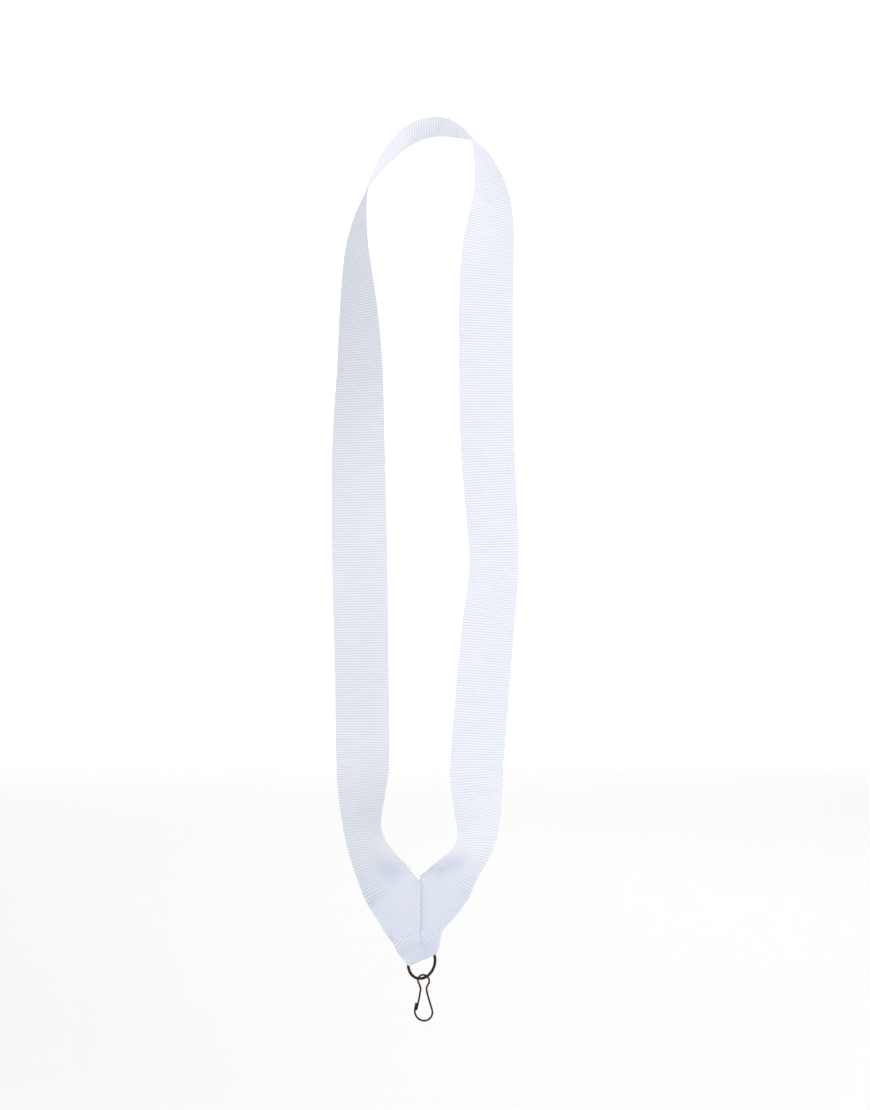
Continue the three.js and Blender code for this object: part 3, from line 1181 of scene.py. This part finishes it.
    def flex_line(self) -> tuple[Vector, Vector]:
        """Two points, just above and just below the tab_flex joint's row.

        Returns:
            The two points, in metres.
        """
        joint = next(j for j in frame["joints"] if j["name"] == "tab_flex")
        row, axis = Vector(joint["pos_m"]), Vector(joint["axis"])
        down = axis.cross(Vector((0, 1, 0))).normalized()
        if down.z > 0:
            down.negate()
        return row - down * (self.flex_above * MM), row + down * (self.flex_below * MM)


# ---------------------------------------------------------------------------------------------
# Stitches
# ---------------------------------------------------------------------------------------------


@dataclass
class StitchRow:
    """Machine stitches lying on the ribbon."""

    ribbon: GrosgrainRibbon
    pitch: float = 2.0
    stitch_length: float = 1.45
    radius: float = 0.26
    fullness: float = 1.1
    crown_share: float = 0.9
    segments: int = 8
    rings: int = 6

    def add_stitch(self, bm: bmesh.types.BMesh, start: Vector, end: Vector, face: Vector) -> None:
        """Add one stitch from start to end, sunk a little into the cloth at both of them.

        Args:
            bm: Where to add it.
            start: Where it starts.
            end: Where it ends.
            face: Outward direction of the cloth.
        """
        along = end - start
        side = face.cross(along).normalized()
        turn = Matrix((along.normalized(), side, face)).transposed().to_4x4()
        turn.translation = (start + end) / 2
        stretch = Matrix.Diagonal((along.length / 2, self.radius, self.radius * self.fullness, 1))
        bmesh.ops.create_uvsphere(
            bm, u_segments=self.segments, v_segments=self.rings, radius=1.0, matrix=turn @ stretch
        )

    def on_cloth(self, end: MitredEnd, x: float, z: float, out: int) -> tuple[Vector, Vector]:
        """A point on the cloth's face and its outward direction, from a panel point.

        Args:
            end: Which end.
            x: The panel point's x.
            z: The panel point's z.
            out: 1 for the front of the cloth, -1 for its back.

        Returns:
            The point and the direction.
        """
        distance, outwards = end.unpanel(x, z)
        along = self.ribbon.along_of(end, distance)
        face = self.ribbon.normal(outwards, along) * out
        lift = self.ribbon.half_thickness + self.ribbon.rib_relief * self.crown_share
        return self.ribbon.surface(outwards, along) + face * lift, face

    def sew(
        self, bm: bmesh.types.BMesh, line: Sequence[tuple[MitredEnd, float, float]], out: int
    ) -> None:
        """Sew one stitch between each pair of neighbouring points of a line.

        Args:
            bm: Where to add them.
            line: The points, each with its end of the ribbon and its x and z.
            out: 1 for the front of the cloth, -1 for its back.
        """
        for (end, x0, z0), (end1, x1, z1) in zip(line, line[1:]):
            start, face = self.on_cloth(end, x0, z0, out)
            stop, _ = self.on_cloth(end1, x1, z1, out)
            gap = (stop - start) * (1 - self.stitch_length / self.pitch) / 2
            self.add_stitch(bm, start + gap, stop - gap, face)


@dataclass
class TabStitches(StitchRow):
    """The row that closes the folded tip, with short tails and frayed ends at its left."""

    below: float = 0.75
    first: float = -12.4
    last: float = 9.8
    fibres: int = 6
    fibre_radius: float = 0.045
    fibre_length: float = 1.0
    fibre_growth: float = 0.35

    def build(self) -> bpy.types.Object:
        """Make the row on the front and on the back of the cloth."""
        bm = bmesh.new()
        tip = self.ribbon.tip
        count = round((self.last - self.first) / self.pitch)
        for out in (1, -1):
            line = []
            for i in range(count + 1):
                along = self.first + (self.last - self.first) * i / count
                x, z = tip.row_point(along, self.below)
                line.append((self.ribbon.left if x < 0 else self.ribbon.right, x, z))
            self.sew(bm, line, out)
        self.add_frayed_ends(bm)
        bmesh.ops.recalc_face_normals(bm, faces=bm.faces)
        made = finished(bm, "tab_stitches", Finish.THREAD, sharp=180)
        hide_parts("tab_stitch_thread")
        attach(made, "tab")
        return made

    def add_frayed_ends(self, bm: bmesh.types.BMesh) -> None:
        """Add fine fibres standing off the left end of the row.

        Args:
            bm: Where to add them.
        """
        x, z = self.ribbon.tip.row_point(self.first, self.below)
        root, face = self.on_cloth(self.ribbon.left, x, z, 1)
        for i in range(self.fibres):
            lean = Vector((-0.75 + 0.32 * i, -0.45 - 0.1 * (i % 3), 0.5 - 0.22 * ((i * 2) % 5)))
            length = self.fibre_length + self.fibre_growth * (i % 3)
            middle = root + lean.normalized() * length / 2 + Vector((0.35 * i, 0, 0.06 * i))
            turn = lean.to_track_quat("X", "Z").to_matrix().to_4x4()
            turn.translation = middle
            stretch = Matrix.Diagonal((length / 2, self.fibre_radius, self.fibre_radius, 1))
            bmesh.ops.create_uvsphere(bm, u_segments=6, v_segments=5, radius=1, matrix=turn @ stretch)


@dataclass
class SeamStitches(StitchRow):
    """The stitching that holds the two seam allowances, behind the V."""

    inset: float = 2.6
    top_gap: float = 4.0
    foot_gap: float = 2.0

    def build(self) -> bpy.types.Object:
        """Make a row on each allowance."""
        bm = bmesh.new()
        for end in (self.ribbon.left, self.ribbon.right):
            top = end.seam_top - self.top_gap
            foot = self.ribbon.tip.row_height + self.foot_gap
            count = round((top - foot) / self.pitch)
            line = [
                (end, -end.side * self.inset, top + (foot - top) * i / count)
                for i in range(count + 1)
            ]
            self.sew(bm, line, 1)
        bmesh.ops.recalc_face_normals(bm, faces=bm.faces)
        made = finished(bm, "seam_stitches", Finish.THREAD, sharp=180)
        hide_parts("mitre_seam_thread")
        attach(made, "ribbon")
        return made


# ---------------------------------------------------------------------------------------------
# Wire pieces
# ---------------------------------------------------------------------------------------------


# Where the rings of a wire's domed end lie, in radians from its tip.
DOME_ANGLES = (0.2, 0.6, 1.1)


def sweep_wire(
    bm: bmesh.types.BMesh, points: Sequence[Vector], radius: float, sides: int = 16
) -> None:
    """Add a round wire along points that lie close together, with domed ends.

    Args:
        bm: Where to add it.
        points: The wire's middle line.
        radius: The wire's radius.
        sides: Sides of its section.
    """
    dome = [(-math.cos(a), math.sin(a)) for a in DOME_ANGLES]
    first = (points[1] - points[0]).normalized()
    last = (points[-1] - points[-2]).normalized()
    stops = [(points[0] + first * radius * back, size) for back, size in dome]
    stops += [(point, 1.0) for point in points]
    stops += [(points[-1] - last * radius * back, size) for back, size in reversed(dome)]
    ring = bmesh.ops.create_circle(bm, segments=sides, radius=radius, cap_ends=False)["verts"]
    edges = list({e for v in ring for e in v.link_edges})
    normal = first.orthogonal().normalized()
    flat = [v.co.copy() for v in ring]
    start_verts, previous = ring, None
    for i, (place, size) in enumerate(stops):
        before = stops[max(i - 1, 0)][0]
        after = stops[min(i + 1, len(stops) - 1)][0]
        along = (after - before).normalized()
        normal = (normal - along * normal.dot(along)).normalized()
        side = along.cross(normal)
        if previous is not None:
            made = bmesh.ops.extrude_edge_only(bm, edges=edges)["geom"]
            new_verts = [g for g in made if isinstance(g, bmesh.types.BMVert)]
            edges = [
                g
                for g in made
                if isinstance(g, bmesh.types.BMEdge) and all(v in new_verts for v in g.verts)
            ]
            ring = [
                min(new_verts, key=lambda n, o=old: (n.co - o.co).length_squared)
                for old in previous
            ]
        for vert, co in zip(ring, flat):
            vert.co = place + (normal * co.x + side * co.y) * size
        previous = ring
    bmesh.ops.contextual_create(bm, geom=edges)
    bmesh.ops.contextual_create(
        bm, geom=list({e for v in start_verts for e in v.link_edges if e.is_boundary})
    )
    bmesh.ops.recalc_face_normals(bm, faces=bm.faces)


def curve_through(knots: Sequence[Vector], per_span: int) -> list[Vector]:
    """Points on a smooth curve through knots, spaced by their chords.

    Args:
        knots: The points that it passes through.
        per_span: Points from one knot to the next.

    Returns:
        The points, in order.
    """
    points = [2 * knots[0] - knots[1], *knots, 2 * knots[-1] - knots[-2]]
    made = []
    for p0, p1, p2, p3 in zip(points, points[1:], points[2:], points[3:]):
        t1 = (p1 - p0).length ** 0.5
        t2 = t1 + (p2 - p1).length ** 0.5
        t3 = t2 + (p3 - p2).length ** 0.5
        for i in range(per_span):
            t = t1 + (t2 - t1) * i / per_span
            a1 = p0.lerp(p1, t / t1)
            a2 = p1.lerp(p2, (t - t1) / (t2 - t1))
            a3 = p2.lerp(p3, (t - t2) / (t3 - t2))
            b1 = a1.lerp(a2, t / t2)
            b2 = a2.lerp(a3, (t - t1) / (t3 - t1))
            made.append(b1.lerp(b2, (t - t1) / (t2 - t1)))
    made.append(knots[-1])
    return made


@dataclass
class WireRing:
    """The ring: one turn of wire whose two ends meet inside the folded tip."""

    wire: float = 1.3
    radius: float = 7.15
    drop: float = 2.8
    yaw: float = 34.0
    butt_gap: float = 0.12
    steps: int = 120
    sides: int = 20

    def centre(self, tip: FoldedTip) -> Vector:
        """The ring's centre, below the fold's axis."""
        return tip.axis_point - Vector((0, 0, self.drop))

    def build(self, tip: FoldedTip) -> bpy.types.Object:
        """Make the ring by turning the wire's section.

        Args:
            tip: The folded tip that holds it.

        Returns:
            The ring.
        """
        bm = bmesh.new()
        section = Matrix.Translation((0, 0, self.radius)) @ Matrix.Rotation(math.pi / 2, 4, "Y")
        verts = bmesh.ops.create_circle(
            bm, segments=self.sides, radius=self.wire / 2, cap_ends=True, matrix=section
        )["verts"]
        gap = self.butt_gap / self.radius
        around = Matrix.Rotation(gap / 2, 4, "Y")
        bmesh.ops.transform(bm, matrix=around, verts=verts)
        bmesh.ops.spin(
            bm, geom=bm.verts[:] + bm.edges[:] + bm.faces[:], axis=(0, 1, 0), cent=(0, 0, 0),
            angle=-(2 * math.pi - gap), steps=self.steps, use_duplicate=False,
        )
        place = Matrix.Translation(self.centre(tip)) @ Matrix.Rotation(math.radians(self.yaw), 4, "Z")
        bmesh.ops.transform(bm, matrix=place, verts=bm.verts)
        bmesh.ops.recalc_face_normals(bm, faces=bm.faces)
        made = finished(bm, "bronze_ring", Finish.BRONZE)
        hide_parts("wire_ring")
        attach(made, "ring")
        return made


@dataclass
class SnapHook:
    """The bent wire hook: its frame with the eye, and the springing gate."""

    wire: float = 0.85
    yaw: float = -15.0
    eye_radius: float = 2.6
    neck_gap: float = 2.7
    neck_drop: float = 3.5
    nose_radius: float = 4.05
    nose_drop: float = 13.7
    nose_rise: float = 3.4
    nose_slant: float = 0.6
    gate_overlap: float = 2.4
    gate_inset: float = 0.5
    gate_lead: float = 0.9
    gate_bow: float = 0.12
    flexure_drop: float = 0.35
    play: float = 0.3
    seat: float = 8.0
    nose_arc: tuple[float, float] = (176.0, 364.0)
    eye_arc: tuple[float, float] = (-40.0, 220.0)
    arc_spans: int = 12
    frame_steps: int = 7
    gate_steps: int = 12

    def placed(self, ring: WireRing, tip: FoldedTip) -> Matrix:
        """The hook's frame, its origin at the eye's centre.

        Args:
            ring: The ring that it hangs on.
            tip: The folded tip that holds the ring.

        Returns:
            Its place in space.
        """
        seat, yaw = math.radians(self.seat), math.radians(ring.yaw)
        reach = ring.radius * math.sin(seat)
        lift = ring.wire / 2 + self.play + self.wire / 2 - self.eye_radius
        offset = Vector(
            (reach * math.cos(yaw), reach * math.sin(yaw), lift - ring.radius * math.cos(seat))
        )
        turn = Matrix.Rotation(math.radians(self.yaw), 4, "Z")
        return Matrix.Translation(ring.centre(tip) + offset) @ turn

    def arc(self, centre_z: float, radius: float, sweep: tuple[float, float]) -> list[Vector]:
        """Points round a circle in the hook's plane, from one angle to another in degrees.

        Args:
            centre_z: Height of the circle's centre over the eye's.
            radius: The circle's radius.
            sweep: The first and the last angle.

        Returns:
            The points, in order.
        """
        made = []
        start, stop = sweep
        for i in range(self.arc_spans + 1):
            angle = math.radians(start + (stop - start) * i / self.arc_spans)
            made.append(Vector((radius * math.cos(angle), 0, centre_z + radius * math.sin(angle))))
        return made

    def build(self, ring: WireRing, tip: FoldedTip) -> tuple[bpy.types.Object, bpy.types.Object]:
        """Make the frame and the gate.

        Args:
            ring: The ring that the hook hangs on.
            tip: The folded tip that holds the ring.

        Returns:
            The frame and the gate.
        """
        place = self.placed(ring, tip)
        nose = Vector((self.nose_slant - self.nose_radius, 0, self.nose_rise - self.nose_drop))
        neck_left = Vector((-self.neck_gap / 2, 0, -self.neck_drop))
        neck_right = Vector((self.neck_gap / 2, 0, -self.neck_drop))
        flexure = neck_left + Vector((0, 0, -self.flexure_drop))
        knots = [
            nose,
            *self.arc(-self.nose_drop, self.nose_radius, self.nose_arc),
            neck_right,
            *self.arc(0, self.eye_radius, self.eye_arc),
            neck_left,
        ]
        body = bmesh.new()
        sweep_wire(body, [*curve_through(knots, self.frame_steps), flexure], self.wire / 2)
        bmesh.ops.transform(body, matrix=place, verts=body.verts)
        hook = finished(body, "snap_hook_frame", Finish.BRONZE)
        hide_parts("hook_frame")
        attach(hook, "hook")

        tip_point = nose + Vector((self.gate_inset, -self.gate_lead, -self.gate_overlap))
        bend = flexure.lerp(tip_point, 0.5) + Vector((self.gate_bow, 0, 0))
        spring = bmesh.new()
        arm = curve_through([flexure, bend, tip_point], self.gate_steps)
        sweep_wire(spring, arm, self.wire / 2)
        bmesh.ops.transform(spring, matrix=place, verts=spring.verts)
        gate = finished(spring, "snap_hook_gate", Finish.BRONZE)
        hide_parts("hook_gate")
        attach(gate, "gate")
        return hook, gate


# ---------------------------------------------------------------------------------------------
# Studio
# ---------------------------------------------------------------------------------------------


@dataclass(frozen=True)
class Lamp:
    """One soft square light, in metres and watts."""

    name: str
    place: tuple[float, float, float]
    size: float
    power: float
    colour: tuple[float, float, float]


@dataclass
class Studio:
    """Camera, soft light, a pale floor and a white backdrop, in metres."""

    camera_distance: float = 0.75
    aim_x: float = 0.0064
    aim_z: float = -0.1882
    view_height: float = 0.4912
    floor_height: float = -0.47
    backdrop_y: float = 1.5
    half_size: float = 3.0
    sensor_height: float = 24.0
    sky_strength: float = 0.57
    floor_glow: float = 0.1
    backdrop_glow: float = 0.62
    lamps: tuple[Lamp, ...] = (
        Lamp("key", (0.75, -0.75, 0.08), 0.55, 4.2, (1.0, 0.985, 0.96)),
        Lamp("fill", (-0.75, -0.6, -0.15), 0.8, 1.7, (0.96, 0.98, 1.0)),
        Lamp("rim", (0.3, 0.7, 0.4), 0.6, 1.2, (1.0, 1.0, 1.0)),
    )

    def build(self) -> None:
        """Set the studio up."""
        scene = bpy.context.scene
        scene.view_settings.view_transform = "Standard"
        data = bpy.data.cameras.new("camera")
        data.sensor_fit = "VERTICAL"
        data.sensor_height = self.sensor_height
        data.lens = data.sensor_height * self.camera_distance / self.view_height
        data.dof.use_dof = False
        camera = bpy.data.objects.new("camera", data)
        camera.location = (self.aim_x, -self.camera_distance, self.aim_z)
        camera.rotation_euler = (math.pi / 2, 0, 0)
        scene.collection.objects.link(camera)
        scene.camera = camera
        self.add_surroundings(scene)
        for lamp in self.lamps:
            self.add_light(scene, lamp)

    def add_surroundings(self, scene: bpy.types.Scene) -> None:
        """Add the world's even light, the floor and the backdrop.

        Args:
            scene: The scene to add them to.
        """
        world = bpy.data.worlds.new("studio")
        world.use_nodes = True
        sky = world.node_tree.nodes["Background"]
        sky.inputs["Color"].default_value = rgba(0.93, 0.96, 1.0)
        sky.inputs["Strength"].default_value = self.sky_strength
        scene.world = world
        for name, glow, turn, place in (
            ("floor", self.floor_glow, Matrix.Identity(4), (0, 0, self.floor_height)),
            ("backdrop", self.backdrop_glow, Matrix.Rotation(math.pi / 2, 4, "X"), (0, self.backdrop_y, 0)),
        ):
            pale = FinishNodes("pale_" + name).surface(
                base_color=rgba(0.92, 0.91, 0.89), roughness=0.9,
                emission_color=rgba(1, 1, 1), emission_strength=glow,
            )
            bm = bmesh.new()
            bmesh.ops.create_grid(
                bm, x_segments=2, y_segments=2, size=self.half_size,
                matrix=Matrix.Translation(place) @ turn,
            )
            mesh = bpy.data.meshes.new(name)
            bm.to_mesh(mesh)
            bm.free()
            mesh.materials.append(pale)
            made = bpy.data.objects.new(name, mesh)
            scene.collection.objects.link(made)

    def add_light(self, scene: bpy.types.Scene, lamp: Lamp) -> None:
        """Add one light that faces the ribbon's middle.

        Args:
            scene: The scene to add it to.
            lamp: The light.
        """
        data = bpy.data.lights.new(lamp.name, "AREA")
        data.size, data.energy, data.color = lamp.size, lamp.power, lamp.colour
        made = bpy.data.objects.new(lamp.name, data)
        made.location = lamp.place
        aim = Vector((self.aim_x, 0, self.aim_z)) - Vector(lamp.place)
        made.rotation_euler = aim.to_track_quat("-Z", "Y").to_euler()
        scene.collection.objects.link(made)


def main() -> None:
    """Build the studio and every piece."""
    Studio().build()
    ribbon = GrosgrainRibbon()
    log.info("middle line %.1f mm between the mitres", ribbon.length)
    pieces = [ribbon.build(), TabStitches(ribbon).build(), SeamStitches(ribbon).build()]
    ring = WireRing()
    pieces += [ring.build(ribbon.tip), *SnapHook().build(ring, ribbon.tip)]
    for piece in pieces:
        log.info("%s: %d faces", piece.name, len(piece.data.polygons))


if __name__ == "__main__":
    main()
